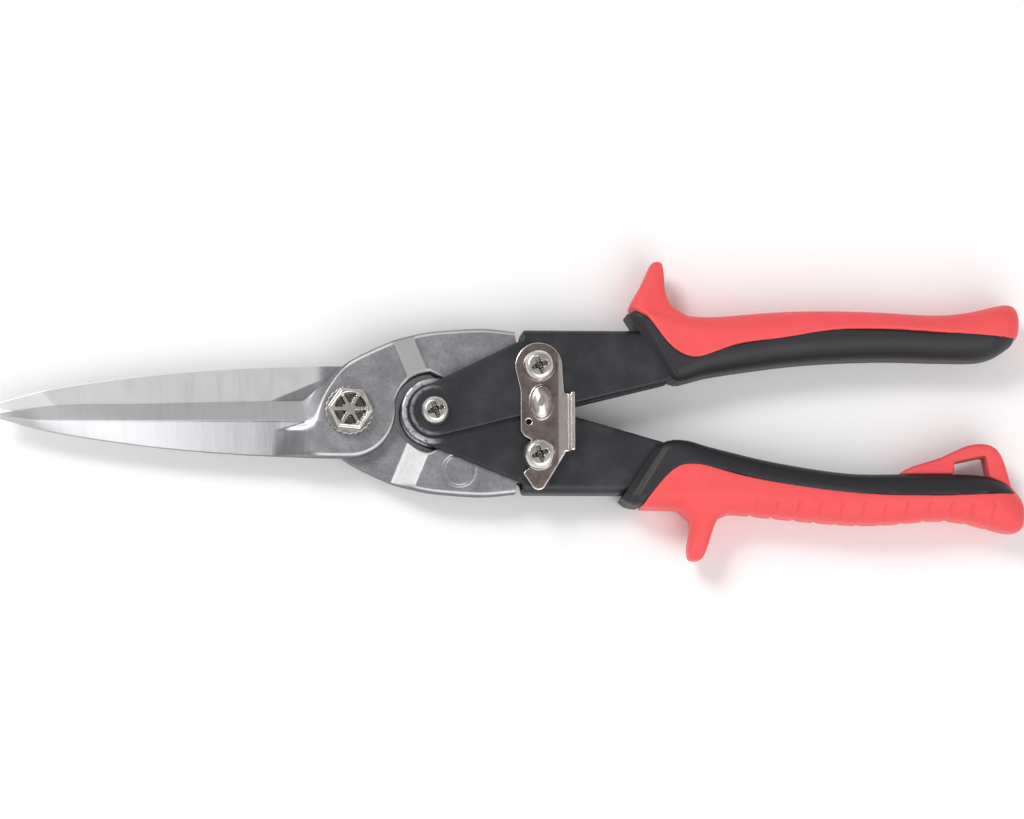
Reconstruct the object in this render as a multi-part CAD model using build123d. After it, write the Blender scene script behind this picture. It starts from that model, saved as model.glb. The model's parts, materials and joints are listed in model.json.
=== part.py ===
from build123d import *
import os
from math import acos, atan2, cos, degrees, hypot, radians, sin

# Compound-action aviation snips, lying on their back and closed. Millimetres.
# +X runs from the main pivot towards the grips, +Y across the tool, +Z up.
# The blades meet in the plane z = SHEAR_Z. Everything is drawn about that plane,
# so a height of 0 below means the shear plane, and placed() lifts it to its real height.

# ---- the linkage: two jaws and two handles joined at four pivots ----
MAIN_PIVOT = (0.0, 0.0)
HANDLE_PIVOT = (24.0, 0.0)
LINK_X = 53.2
LINK_Y = 12.5
UPPER_LINK = (LINK_X, LINK_Y)
LOWER_LINK = (LINK_X, -LINK_Y)

# ---- heights above the shear plane ----
SHEAR_Z = 9.5
BLADE_GAP = 0.04
HUB_TOP = 5.0
ARM_HALF = 3.0
INNER_PLATE = (3.2, 5.0)
OUTER_PLATE = (5.1, 6.9)
LATCH_PLATE = (7.0, 8.2)
RUNNING_CLEARANCE = 0.05

# ---- jaw forging ----
HUB_RADIUS = 13.1
POCKET_RADIUS = 11.2
TIP_X = -97.6
EYE_RADIUS = 7.0
ARM_INNER_Y = 5.5
SHOULDER = (46.9, 22.9)
STEP_ANGLE = 22.7
STEP_START = 18.7
STEP_END = 25.2
RIDGE_Y = -3.0
EDGE_THICK = 0.8
BACK_THICK = 1.2

# ---- return spring ----
SPRING_X = 39.0
SPRING_RADIUS = 2.5
SPRING_WIRE = 1.0
SPRING_TURNS = 5
STUD_RADIUS = 1.5
STUD_LENGTH = 2.4

# ---- handle channels ----
WEB_Y = 23.1
SHEET = 1.9
WEB_START = 48.9
CHANNEL_END = 150.0
OUTER_NOSE = 7.3
INNER_NOSE = 9.5
BEND_RADIUS = 2.4

# ---- fasteners ----
MAIN_BOLT = 4.0
HEX_RADIUS = 6.5
HEX_HEIGHT = 4.8
WASHER_RADIUS = 7.0
NUT_RADIUS = 7.5
SCREW = 2.5
SCREW_HEAD = 4.5
HEAD_HEIGHT = 2.8
SCREW_NUT = 4.6
NUT_HEIGHT = 2.5
LATCH_NECK = 2.0
PIVOT_SLACK = 0.35

# ---- latch, drawn about the upper link screw ----
LATCH_TAB = (8.6, 9.8)
LATCH_TAB_TOP = 12.2
LATCH_TAB_SPAN = (-24.1, -7.6)

# ---- grips: rungs across each grip, from its inner to its outer edge ----
# each rung is (inner point, outer point, half thickness, corner radius)
UPPER_GRIP = [
    ((91.4, 7.9), (77.6, 29.3), 8.6, 3.0),
    ((96.0, 9.2), (86.5, 29.0), 9.0, 4.0),
    ((105.0, 11.2), (100.0, 27.2), 9.2, 5.5),
    ((128.0, 14.3), (127.0, 29.0), 9.25, 6.0),
    ((150.0, 15.5), (150.0, 28.9), 9.25, 6.0),
    ((168.0, 15.3), (168.0, 28.2), 9.2, 6.0),
    ((180.5, 15.6), (183.0, 30.6), 9.0, 6.0),
    ((187.4, 18.8), (189.0, 31.0), 7.6, 5.2),
    ((190.3, 22.4), (190.7, 27.6), 4.6, 2.4),
]
LOWER_GRIP = [
    ((87.8, -7.9), (75.6, -26.2), 8.6, 3.0),
    ((95.0, -8.0), (85.0, -26.8), 9.0, 4.0),
    ((103.0, -10.0), (98.5, -27.4), 9.3, 5.5),
    ((120.0, -13.9), (117.0, -28.9), 9.4, 6.0),
    ((141.0, -17.0), (141.0, -31.0), 9.4, 6.0),
    ((160.0, -17.1), (160.0, -30.3), 9.3, 6.0),
    ((179.0, -17.4), (180.0, -31.6), 9.0, 6.0),
    ((187.4, -20.4), (189.0, -33.4), 7.6, 5.2),
    ((191.2, -25.2), (191.5, -30.4), 4.6, 2.4),
]
UPPER_HORN = [
    ((80.6, 27.4), (95.5, 26.0), 7.2, 2.4),
    ((80.9, 32.6), (91.0, 30.6), 6.4, 2.4),
    ((83.2, 36.5), (89.6, 34.5), 5.6, 2.2),
    ((84.8, 40.0), (89.3, 39.5), 4.8, 1.8),
    ((86.2, 42.9), (88.7, 43.2), 3.4, 1.0),
]
LOWER_HORN = [
    ((94.6, -26.6), (108.0, -27.4), 7.2, 2.4),
    ((96.6, -30.4), (104.0, -29.9), 6.0, 2.4),
    ((96.5, -34.0), (102.3, -34.0), 5.4, 2.2),
    ((95.8, -38.0), (100.9, -38.3), 4.8, 1.8),
    ((96.2, -41.4), (98.9, -41.6), 3.4, 1.0),
]
# where the red overmould starts on the side of each grip
UPPER_SEAM = [(76, 33.5), (85.8, 24.7), (91.4, 17.9), (97.5, 15.3), (107, 18.3), (120, 20.6),
              (137, 23.2), (150, 23.7), (165, 23.0), (196, 21.5)]
LOWER_SEAM = [(77, -32.5), (85.8, -22.1), (93.7, -15.1), (105.6, -16.9), (122.7, -20.5),
              (145.4, -23.2), (171, -23.4), (188.7, -22.8)]
BUTT_SEAM_X = 184.6
OVERMOULD_CORE = (7.7, 24.3)
LOOP_HALF = 4.6


def placed(shape):
    """Lift a shape drawn about the shear plane to its height in the part's frame."""
    return Pos(0, 0, SHEAR_Z) * shape


def save(shape, node):
    """Write one node."""
    export_step(placed(shape), f"parts/{node}.step")


def prism(outline, low, high):
    """The solid over a flat outline, between two heights."""
    return extrude(Pos(0, 0, low) * outline, high - low, dir=(0, 0, 1))


def face(points):
    """A flat face from a closed list of corner points."""
    return make_face(Polyline(*points, close=True))


def disc(centre, radius, low, high):
    """An upright cylinder between two heights."""
    return prism(Pos(*centre) * Circle(radius), low, high)


def ring(centre, hole, radius, low, high):
    """A spacer or washer between two heights."""
    return disc(centre, radius, low, high) - disc(centre, hole, low - 1, high + 1)


def about_x_axis(shape):
    """Turn a shape half a turn about X, which makes the one jaw into the other."""
    return Rot(180, 0, 0) * shape


def polar(centre, radius, angle):
    """A point at an angle, in degrees, about a centre."""
    return (centre[0] + radius * cos(radians(angle)), centre[1] + radius * sin(radians(angle)))


# ---------------------------------------------------------------- jaws
def jaw_outline():
    """The forging seen square on: back edge, hub, pocket round the handle pivot, arm, cutting edge."""
    pivot_x = HANDLE_PIVOT[0]
    meet_x = (HUB_RADIUS**2 - POCKET_RADIUS**2 + pivot_x**2) / (2 * pivot_x)
    meet_y = (HUB_RADIUS**2 - meet_x**2) ** 0.5
    hub_angle = degrees(atan2(meet_y, meet_x))
    pocket_angle = degrees(atan2(meet_y, meet_x - pivot_x))
    pocket_end = 95.0
    back = Spline((TIP_X, -2.3), (-84, -5.9), (-66, -8.8), (-48, -10.9), (-30, -12.2), (0, -HUB_RADIUS),
                  tangents=[(0.9, -0.42), (1, 0)])
    hub = CenterArc(MAIN_PIVOT, HUB_RADIUS, -90, 90 + hub_angle)
    pocket = CenterArc(HANDLE_PIVOT, POCKET_RADIUS, pocket_angle, pocket_end - pocket_angle)
    inner = Polyline(pocket @ 1, (34, ARM_INNER_Y), (LINK_X, ARM_INNER_Y))
    eye = CenterArc(UPPER_LINK, EYE_RADIUS, -90, 180)
    shoulder = Polyline(eye @ 1, (47.3, LINK_Y + EYE_RADIUS), SHOULDER)
    arm = Spline(SHOULDER, (37.5, 23.7), (25.6, 23.0), (13.6, 20.4), (1.7, 15.0), (-3.4, 11.8),
                 tangents=[(-1, 0.12), (-0.84, -0.54)])
    heel = Line(arm @ 1, (-12.6, 4.0))
    edge = Polyline(heel @ 1, (-79, 1.9))
    nose = Spline(edge @ 1, (-92, 0.2), (TIP_X, -0.9), tangents=[(-1, -0.03), (-0.95, -0.3)])
    tip = Line(nose @ 1, (TIP_X, -2.3))
    return make_face([back, hub, pocket, inner, eye, shoulder, arm, heel, edge, nose, tip])


def blade_section(x, edge_y, ridge_height):
    """The two-bevelled wedge that the blade is ground to, square across the tool at x."""
    corners = [
        (20.0, 0.0),
        (20.0, EDGE_THICK),
        (edge_y, EDGE_THICK),
        (RIDGE_Y, ridge_height),
        (-16.0, BACK_THICK),
        (-16.0, 0.0),
    ]
    plane = Plane(origin=(x, 0, 0), x_dir=(0, 1, 0), z_dir=(1, 0, 0))
    return plane * face(corners)


def front_jaw_blank():
    """The front forging, before its holes: ground blade, thick hub, arm stepped to the mid plane."""
    outline = jaw_outline()
    blade = loft([blade_section(-99, -0.9, 2.1), blade_section(-79, 1.9, 2.9), blade_section(-8, 4.1, 4.2)],
                 ruled=True)
    step = [(-14, BLADE_GAP / 2), (-14, 3.6), (-10.5, HUB_TOP), (STEP_START, HUB_TOP),
            (STEP_END, ARM_HALF), (80, ARM_HALF), (80, -ARM_HALF), (STEP_END, -ARM_HALF),
            (STEP_START, BLADE_GAP / 2)]
    along = Plane(origin=(0, 0, 0), x_dir=(cos(radians(STEP_ANGLE)), sin(radians(STEP_ANGLE)), 0),
                  z_dir=(sin(radians(STEP_ANGLE)), -cos(radians(STEP_ANGLE)), 0))
    stepped = extrude(along * face(step), 60, both=True)
    body = prism(outline, -ARM_HALF, HUB_TOP) & stepped
    blade = prism(outline, BLADE_GAP / 2, HUB_TOP) & blade
    stud = Pos(SPRING_X, ARM_INNER_Y - STUD_LENGTH / 2 + 0.2, 0) * Rot(90, 0, 0) * Cylinder(
        STUD_RADIUS, STUD_LENGTH + 0.4)
    return body + blade + stud


def jaw(bolt_hole):
    """A jaw with its pivot hole and the hole for its link screw."""
    blank = front_jaw_blank()
    holes = disc(MAIN_PIVOT, bolt_hole, -10, 10) + disc(UPPER_LINK, SCREW + RUNNING_CLEARANCE, -10, 10)
    return blank - holes


def front_jaw():
    """The jaw on top: its blade is on the -Y side and its arm carries the upper handle."""
    spotface = ring(MAIN_PIVOT, WASHER_RADIUS - 0.1, WASHER_RADIUS + 0.5, HUB_TOP - 0.25, HUB_TOP + 1)
    return jaw(MAIN_BOLT + RUNNING_CLEARANCE) - spotface


def rear_jaw():
    """The same forging turned over, with a plain round dimple on its arm."""
    dimple = ring((31.0, -16.5), 4.2, 4.8, ARM_HALF - 0.3, ARM_HALF + 1)
    return about_x_axis(jaw(MAIN_BOLT + RUNNING_CLEARANCE)) - dimple


# ---------------------------------------------------------------- handle channels
def tangent_touch(centre, radius, point, side):
    """Where the line from an outside point touches a circle, on the given side of it."""
    dx = point[0] - centre[0]
    dy = point[1] - centre[1]
    angle = degrees(atan2(dy, dx)) + side * degrees(acos(radius / hypot(dx, dy)))
    return polar(centre, radius, angle), angle


def channel_outline(nose):
    """The upper handle's side plate: nose round the pivot, flaring to the full width of the channel."""
    front_corner = (WEB_START - 0.3, 20.2)
    inner_corner = (90.2, 8.8)
    top, top_angle = tangent_touch(HANDLE_PIVOT, nose, front_corner, 1)
    low, low_angle = tangent_touch(HANDLE_PIVOT, nose, inner_corner, -1)
    round_nose = CenterArc(HANDLE_PIVOT, nose, top_angle, 360 + low_angle - top_angle)
    rest = Polyline(low, inner_corner, (96, 13.2), (CHANNEL_END, 19.5), (CHANNEL_END, WEB_Y),
                    (WEB_START, WEB_Y), front_corner, top)
    return make_face([round_nose, rest])


def channel(nose, plate):
    """A pressed U-channel: two side plates joined by a web along the outer edge."""
    outline = channel_outline(nose)
    blank = prism(outline, -plate[1], plate[1])
    bends = [e for e in blank.edges()
             if abs(e.center().Y - WEB_Y) < 0.01 and abs(abs(e.center().Z) - plate[1]) < 0.01]
    blank = fillet(bends, BEND_RADIUS)
    inside = Pos(90, WEB_Y - SHEET - 50) * Rectangle(300, 100) + Pos(WEB_START - 50, 0) * Rectangle(100, 100)
    return blank - prism(inside, -plate[0], plate[0])


def upper_channel():
    """The outer channel: it straddles the lower handle's plates at the handle pivot."""
    holes = disc(HANDLE_PIVOT, SCREW + PIVOT_SLACK, -10, 10)
    holes += disc(UPPER_LINK, SCREW + RUNNING_CLEARANCE, -10, 10)
    return channel(OUTER_NOSE, OUTER_PLATE) - holes


def lower_channel():
    """The inner channel, on the other side of the tool."""
    holes = disc(HANDLE_PIVOT, SCREW + RUNNING_CLEARANCE, -10, 10)
    holes += disc(UPPER_LINK, SCREW + RUNNING_CLEARANCE, -10, 10)
    return about_x_axis(channel(INNER_NOSE, INNER_PLATE) - holes)


# ---------------------------------------------------------------- grips
def rung_loft(rungs):
    """A rounded body through sections that each stand on a rung, square to the mid plane."""
    sections = []
    for inner, outer, half, corner in rungs:
        across = Vector(outer[0] - inner[0], outer[1] - inner[1], 0)
        middle = Vector((inner[0] + outer[0]) / 2, (inner[1] + outer[1]) / 2, 0)
        along = across.normalized().cross(Vector(0, 0, 1))
        plane = Plane(origin=middle, x_dir=across.normalized(), z_dir=along)
        sections.append(plane * RectangleRounded(across.length, 2 * half, corner))
    return loft(sections)


def seam_region(seam, far_y, butt_x=None):
    """The side of the seam that is overmoulded, as a flat face reaching out to far_y."""
    line = Spline(*seam)
    end = line @ 1
    if butt_x is None:
        close = Polyline(end, (end.X, far_y), (seam[0][0], far_y), seam[0])
    else:
        close = Polyline(end, (butt_x, -16.5), (butt_x, 0), (200, 0), (200, far_y), (seam[0][0], far_y),
                         seam[0])
    return make_face([line, close])


def grip(rungs, horn_rungs, region, core_box, channel_solid, extra=None):
    """Split one grip into its hard core and the softer overmould that carries the guard horn."""
    whole = rung_loft(rungs)
    soft = (whole & prism(region, -12, 12)) - core_box - channel_solid
    core = whole - soft - channel_solid
    soft += rung_loft(horn_rungs) - core - channel_solid
    if extra is not None:
        soft += extra - core
    return core, soft


def core_box(side):
    """The room inside the overmould that the core fills round the channel."""
    half, top = OVERMOULD_CORE
    return Pos(115, side * (top - 30), 0) * Box(120, 60, 2 * half)


def hanging_loop():
    """The loop at the end of the lower grip, with the eye that it hangs by."""
    outer = Spline((153.5, -19.5), (157, -16.3), (168, -12.3), (178, -8.5), (183.2, -9.4), (186.2, -14.5),
                   (188.2, -21.5))
    body = make_face([outer, Polyline(outer @ 1, outer @ 0)])
    eye = face([(171.4, -13.7), (180.6, -11.7), (182.3, -21.0), (171.4, -21.0)])
    solid = prism(body, -LOOP_HALF, LOOP_HALF)
    top_edges = solid.faces().sort_by(Axis.Z)[-1].edges()
    return chamfer(top_edges, 0.9) - prism(eye, -20, 20)


# ---------------------------------------------------------------- fasteners
def pan_screw(centre, under_head, end, head=SCREW_HEAD):
    """A cross-recessed pan-head screw standing along Z."""
    top = under_head + HEAD_HEIGHT
    body = disc(centre, head, under_head, top)
    rim = body.edges().sort_by(Axis.Z)[-1]
    body = fillet(rim, 1.4)
    slot = Rectangle(4.4, 1.1) + Rectangle(1.1, 4.4)
    recess = prism(Pos(*centre) * Rot(0, 0, 20) * slot, top - 1.3, top + 1)
    return body - recess + disc(centre, SCREW, end, under_head)


def hex_nut(centre, radius, hole, low, high):
    """A plain hexagon nut."""
    return prism(Pos(*centre) * RegularPolygon(radius, 6), low, high) - disc(centre, hole, low - 1, high + 1)


def pivot_bolt():
    """The main bolt: a hexagon head, hollowed on top between six spokes."""
    base = HUB_TOP + 1.2
    top = base + HEX_HEIGHT
    head = prism(Rot(0, 0, -5) * RegularPolygon(HEX_RADIUS, 6), base, top)
    head = chamfer(head.faces().sort_by(Axis.Z)[-1].edges(), 0.4)
    pockets = Sketch() + [Pos(*polar((0, 0), 3.1, 60 * i + 30)) * Circle(1.15) for i in range(6)]
    recess = prism(Circle(4.5), top - 0.6, top + 1) + prism(pockets, top - 2.0, top + 1)
    return head - recess + disc(MAIN_PIVOT, MAIN_BOLT, -SHEAR_Z, base)


def toothed_washer(hole, radius, teeth, low, high):
    """A lock washer with teeth round its rim."""
    corners = []
    for i in range(2 * teeth):
        corners.append(polar((0, 0), radius - 0.35 * (i % 2), 180 * i / teeth))
    return prism(face(corners), low, high) - disc(MAIN_PIVOT, hole, low - 1, high + 1)


def return_spring():
    """The coil that pushes the two jaw arms apart."""
    length = 2 * ARM_INNER_Y - SPRING_WIRE - 0.2
    path = Helix(length / SPRING_TURNS, length, SPRING_RADIUS)
    wire = sweep(Plane(origin=path @ 0, z_dir=path % 0) * Circle(SPRING_WIRE / 2), path=path)
    return Pos(SPRING_X, length / 2, 0) * Rot(90, 0, 0) * wire


# ---------------------------------------------------------------- latch
def latch_outline():
    """The latch plate about its screw: round head, straight shank, hook open on its left side."""
    head = CenterArc((0, 0), 6.7, -5, 190)
    left = Polyline(head @ 1, (-5.2, -7.0), (-5.2, -18.2), (-4.2, -19.8), (-2.7, -20.6))
    throat = Line(left @ 1, (-0.6, -22.2))
    notch = ThreePointArc(throat @ 1, (2.5, -24.6), (0.6, -27.3))
    lip = Line(notch @ 1, (-3.9, -29.4))
    hook = Polyline(lip @ 1, (-4.5, -30.3), (-2.2, -33.6))
    toe = ThreePointArc(hook @ 1, (-0.4, -35.0), (1.6, -34.0))
    right = Polyline(toe @ 1, (7.4, -24.6), (7.2, -8.0), head @ 0)
    return make_face([head, left, throat, notch, lip, hook, toe, right])


def latch_plate():
    """The latch: a flat nickel-plated plate with its right edge turned up as a thumb tab."""
    low, high = LATCH_PLATE
    plate = prism(latch_outline(), low, high)
    shelf_mid = (LATCH_TAB_SPAN[0] + LATCH_TAB_SPAN[1]) / 2
    shelf_length = LATCH_TAB_SPAN[1] - LATCH_TAB_SPAN[0]
    bent = face([(5.0, low), (LATCH_TAB[1], low), (LATCH_TAB[1], LATCH_TAB_TOP),
                 (LATCH_TAB[0], LATCH_TAB_TOP), (LATCH_TAB[0], high), (5.0, high)])
    tab = extrude(Plane(origin=(0, shelf_mid, 0), x_dir=(1, 0, 0), z_dir=(0, -1, 0)) * bent,
                  shelf_length / 2, both=True)
    outer_bend = [e for e in tab.edges()
                  if abs(e.center().X - LATCH_TAB[1]) < 0.01 and abs(e.center().Z - low) < 0.01]
    tab = fillet(outer_bend, 1.1)
    bump = prism(Pos(0.6, -10.2) * Ellipse(3.2, 4.8), low + 0.2, high + 0.5)
    bump = chamfer(bump.edges().sort_by(Axis.Z)[-1], 0.45)
    hole = disc((-2.9, -15.8), 0.8, low - 1, high + 1)
    hole += disc((0, 0), SCREW + RUNNING_CLEARANCE, low - 1, high + 1)
    return Pos(*UPPER_LINK) * (plate + tab + bump - hole)


# ---------------------------------------------------------------- build and write every node
os.makedirs("parts", exist_ok=True)

save(front_jaw(), "front_jaw")
save(rear_jaw(), "rear_jaw")
save(pivot_bolt(), "pivot_bolt")
bolt_clearance = MAIN_BOLT + RUNNING_CLEARANCE
rear_washer_low = -HUB_TOP - 0.6
save(toothed_washer(bolt_clearance, WASHER_RADIUS, 24, HUB_TOP, HUB_TOP + 1.2), "pivot_washer_front")
save(ring(MAIN_PIVOT, bolt_clearance, NUT_RADIUS, rear_washer_low, -HUB_TOP), "pivot_washer_rear")
save(hex_nut(MAIN_PIVOT, NUT_RADIUS, bolt_clearance, -SHEAR_Z, rear_washer_low), "pivot_lock_nut")

upper_steel = upper_channel()
save(upper_steel, "upper_handle_channel")
upper_core, upper_soft = grip(UPPER_GRIP, UPPER_HORN, seam_region(UPPER_SEAM, 60), core_box(1), upper_steel)
save(upper_core, "upper_grip_core")
save(upper_soft, "upper_grip_overmould")

lower_steel = lower_channel()
save(lower_steel, "lower_handle_channel")
lower_core, lower_soft = grip(LOWER_GRIP, LOWER_HORN, seam_region(LOWER_SEAM, -60, BUTT_SEAM_X), core_box(-1),
                              lower_steel, hanging_loop())
save(lower_core, "lower_grip_core")
save(lower_soft, "lower_grip_overmould")

screw_clearance = SCREW + RUNNING_CLEARANCE
outer_nut_low = -OUTER_PLATE[1] - NUT_HEIGHT
inner_nut_low = -INNER_PLATE[1] - NUT_HEIGHT
upper_screw_seat = LATCH_PLATE[1] + 0.5
save(pan_screw(UPPER_LINK, upper_screw_seat, outer_nut_low), "upper_link_screw")
save(hex_nut(UPPER_LINK, SCREW_NUT, screw_clearance, outer_nut_low, -OUTER_PLATE[1]), "upper_link_nut")
washer = ring(UPPER_LINK, screw_clearance, 4.4, LATCH_PLATE[1] + 0.05, upper_screw_seat)
save(washer, "latch_spring_washer")
for side, name in [(1, "upper_link_spacer_front"), (-1, "upper_link_spacer_rear")]:
    low, high = sorted([side * (ARM_HALF + 0.1), side * OUTER_PLATE[0]])
    save(ring(UPPER_LINK, screw_clearance, SCREW_NUT, low, high), name)

lower_screw_seat = LATCH_PLATE[1] + 0.15
neck = ring(LOWER_LINK, LATCH_NECK, SCREW + 1, LATCH_PLATE[0] - 0.05, lower_screw_seat)
save(pan_screw(LOWER_LINK, lower_screw_seat, inner_nut_low) - neck, "lower_link_screw")
save(hex_nut(LOWER_LINK, SCREW_NUT, screw_clearance, inner_nut_low, -INNER_PLATE[1]), "lower_link_nut")
collar = ring(LOWER_LINK, screw_clearance, 4.3, INNER_PLATE[1], LATCH_PLATE[0] - 0.1)
save(collar, "lower_link_collar")

pivot_nut_high = -OUTER_PLATE[1] - 0.1
save(pan_screw(HANDLE_PIVOT, OUTER_PLATE[1] + 0.1, outer_nut_low, 4.1), "handle_pivot_screw")
save(hex_nut(HANDLE_PIVOT, SCREW_NUT, screw_clearance, outer_nut_low, pivot_nut_high), "handle_pivot_nut")
save(ring(HANDLE_PIVOT, screw_clearance, SCREW_NUT, -INNER_PLATE[0], INNER_PLATE[0]), "handle_pivot_bush")

save(latch_plate(), "latch_plate")
save(return_spring(), "return_spring")
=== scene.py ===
# %% [markdown]
# # Aviation snips, finished in Blender
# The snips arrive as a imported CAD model: two forged jaws, two pressed handles, their grips, a latch
# and the screws, each in its own node, with joints that open them. This notebook keeps that frame and
# gives every piece its real surface: soft forging edges, ground blades, moulded rubber and worn paint.
# Everything is in metres, and X runs from the main pivot to the grips, so a new piece is simply made
# where it belongs.

# %% Load the frame
import json
import bmesh
import bpy
import numpy as np
from math import cos, pi, radians, sin
from mathutils import Matrix, Vector


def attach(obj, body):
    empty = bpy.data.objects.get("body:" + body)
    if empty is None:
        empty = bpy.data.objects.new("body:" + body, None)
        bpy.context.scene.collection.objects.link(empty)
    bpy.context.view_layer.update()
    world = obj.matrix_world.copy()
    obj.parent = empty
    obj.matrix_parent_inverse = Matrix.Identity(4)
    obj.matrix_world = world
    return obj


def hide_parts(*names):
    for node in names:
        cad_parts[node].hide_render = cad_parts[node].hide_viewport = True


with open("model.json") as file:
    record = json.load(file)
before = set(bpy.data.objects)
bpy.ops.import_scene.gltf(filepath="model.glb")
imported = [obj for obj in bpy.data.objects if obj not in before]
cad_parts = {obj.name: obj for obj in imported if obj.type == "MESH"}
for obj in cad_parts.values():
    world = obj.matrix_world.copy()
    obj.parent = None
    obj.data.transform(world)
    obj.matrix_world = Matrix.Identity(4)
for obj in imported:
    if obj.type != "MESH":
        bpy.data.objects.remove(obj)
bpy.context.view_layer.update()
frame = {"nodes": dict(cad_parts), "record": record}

MM = 0.001
SHEAR_Z = 9.5
PIVOT = (0.0, 0.0)
HANDLE_PIVOT = (24.0, 0.0)
LINK_X = 53.2
LINK_Y = 12.5

# %% [markdown]
# ## Surfaces from arrays
# A moulded or forged piece is easiest to think of as a stack of closed sections. Each section is a
# ring of points, the stack is an array of rings, and the faces join each ring to the next. The same
# function serves a jaw, a grip and a screw head: only the formula for the rings changes.

# %% A closed surface from a stack of rings
def stack_of_rings(name, rings, marks=None):
    """Join ring i to ring i + 1 with quads, and close both ends with a fan about the end ring's centre.
    rings is an array (rings, points, 3) in millimetres about the shear plane. marks, a number for
    each point of each ring, is kept on the mesh as the attribute 'recess'."""
    count, around, _ = rings.shape
    ends = np.stack([rings[0].mean(0), rings[-1].mean(0)])
    points = np.concatenate([rings.reshape(-1, 3), ends])
    points[:, 2] += SHEAR_Z
    i = np.arange(count - 1)[:, None] * around
    j = np.arange(around)[None, :]
    k = (j + 1) % around
    quads = np.stack([i + j, i + k, i + around + k, i + around + j], -1).reshape(-1, 4)
    j, k = j[0], k[0]
    first = np.stack([k, j, np.full(around, count * around)], -1)
    last = np.stack([j, k, np.full(around, count * around + 1)], -1)
    last[:, :2] += (count - 1) * around
    mesh = bpy.data.meshes.new(name)
    mesh.from_pydata((points * MM).tolist(), [], quads.tolist() + first.tolist() + last.tolist())
    if marks is not None:
        depth = np.concatenate([marks.ravel(), marks[0].mean(keepdims=True), marks[-1].mean(keepdims=True)])
        mesh.attributes.new("recess", "FLOAT", "POINT").data.foreach_set("value", depth.astype(np.float32))
    return finished(name, mesh)


def finished(name, mesh, angle=35):
    """Weld doubled points, turn every face outwards, shade smoothly and keep edges sharper than angle.
    A closed mesh that faces outwards has a positive volume, so that is measured and insisted on."""
    work = bmesh.new()
    work.from_mesh(mesh)
    bmesh.ops.remove_doubles(work, verts=work.verts, dist=2e-6)
    bmesh.ops.dissolve_degenerate(work, edges=work.edges, dist=1e-6)
    bmesh.ops.recalc_face_normals(work, faces=work.faces)
    volume = work.calc_volume(signed=True) / MM**3
    loose = sum(not edge.is_manifold for edge in work.edges)
    if not volume > 0 or loose:
        raise ValueError(f"{name}: volume {volume:.1f} mm3 with {loose} edges that don't join two faces")
    work.to_mesh(mesh)
    work.free()
    mesh.shade_smooth()
    mesh.set_sharp_from_angle(angle=radians(angle))
    piece = bpy.data.objects.new(name, mesh)
    bpy.context.scene.collection.objects.link(piece)
    print(name, "faces", len(mesh.polygons), "volume in mm3", round(volume))
    return piece


# %% [markdown]
# Outlines are given by a few points and drawn as smooth curves. A Catmull-Rom curve goes through its
# points and leaves each one in the direction of its two neighbours, which is how a draughtsman's
# flexible curve lies, and spacing the samples evenly keeps the faces square.

# %% Smooth curves through a few points
def even(points, count):
    """Points at equal distances along a polyline of any dimension."""
    points = np.asarray(points, float)
    along = np.concatenate([[0], np.cumsum(np.linalg.norm(np.diff(points, axis=0), axis=1))])
    where = np.linspace(0, along[-1], count)
    return np.stack([np.interp(where, along, axis) for axis in points.T], -1)


def cubics(knots, count):
    """A Catmull-Rom curve: each span is the cubic through its ends whose slopes are half the
    difference of the neighbours on either side."""
    knots = np.asarray(knots, float)
    ends = np.concatenate([[2 * knots[0] - knots[1]], knots, [2 * knots[-1] - knots[-2]]])
    spans = len(knots) - 1
    where = np.linspace(0, spans, count)
    i = np.minimum(where.astype(int), spans - 1)
    t = (where - i)[:, None]
    a, b, c, d = ends[i], ends[i + 1], ends[i + 2], ends[i + 3]
    return b + t * ((c - a) / 2 + t * (a - 2.5 * b + 2 * c - d / 2 + t * (1.5 * (b - c) + (d - a) / 2)))


def curve(knots, count):
    """The same curve, drawn finely and then sampled at equal distances."""
    return even(cubics(knots, 40 * (len(knots) - 1) + 1), count)


def arc(centre, radius, start, end, count):
    """Points on a circle between two angles in degrees."""
    angle = np.radians(np.linspace(start, end, count))
    return np.stack([centre[0] + radius * np.cos(angle), centre[1] + radius * np.sin(angle)], -1)


def smooth(value, low, high):
    """0 below low, 1 above high, and the S-shaped cubic 3t^2 - 2t^3 between."""
    t = np.clip((value - low) / (high - low), 0, 1)
    return t * t * (3 - 2 * t)


def softened_ramp(value, low, high, soft):
    """A straight ramp from 0 to 1 whose two corners are rounded over the distance soft."""
    t = (value - low) / (high - low)
    s = soft / (high - low)
    lift = 0.5 * (t + np.sqrt(t * t + s * s))
    return lift - 0.5 * (t - 1 + np.sqrt((t - 1) ** 2 + s * s))


def edge_drop(distance, width, drop):
    """How far a rounded edge has fallen at a distance in from the outline: a quarter of an ellipse."""
    t = np.clip(1 - distance / width, 0, 1)
    return drop * (1 - np.sqrt(1 - t * t))


# %% [markdown]
# ## The jaws
# Both jaws are the same drop forging: a long blade, a thick round hub and an arm that steps back to
# the middle plane. It could be sculpted or beveled out of a block, but a forging is really a flat
# outline with a height at every point, so it is built as a ladder: rungs run from one side of the
# outline to the other, and the height above and below each point is a formula. The blade's two ground
# bevels, the S-shaped step up to the hub and the ramp down the arm are all terms in that formula.

# %% The jaw as a ladder of rungs
HUB_RADIUS = 13.1
POCKET_RADIUS = 11.2
EYE_RADIUS = 7.0
STEP_ANGLE = 22.7
RIDGE_Y = -3.0
TIP_X = -97.6
HUB_TOP = 5.0
ARM_HALF = 3.0
BLADE_GAP = 0.02
RAMP_START = 18.7
RAMP_END = 25.2
BLADE_STEPS = 170
HUB_STEPS = 100
ARM_STEPS = 60


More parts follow.
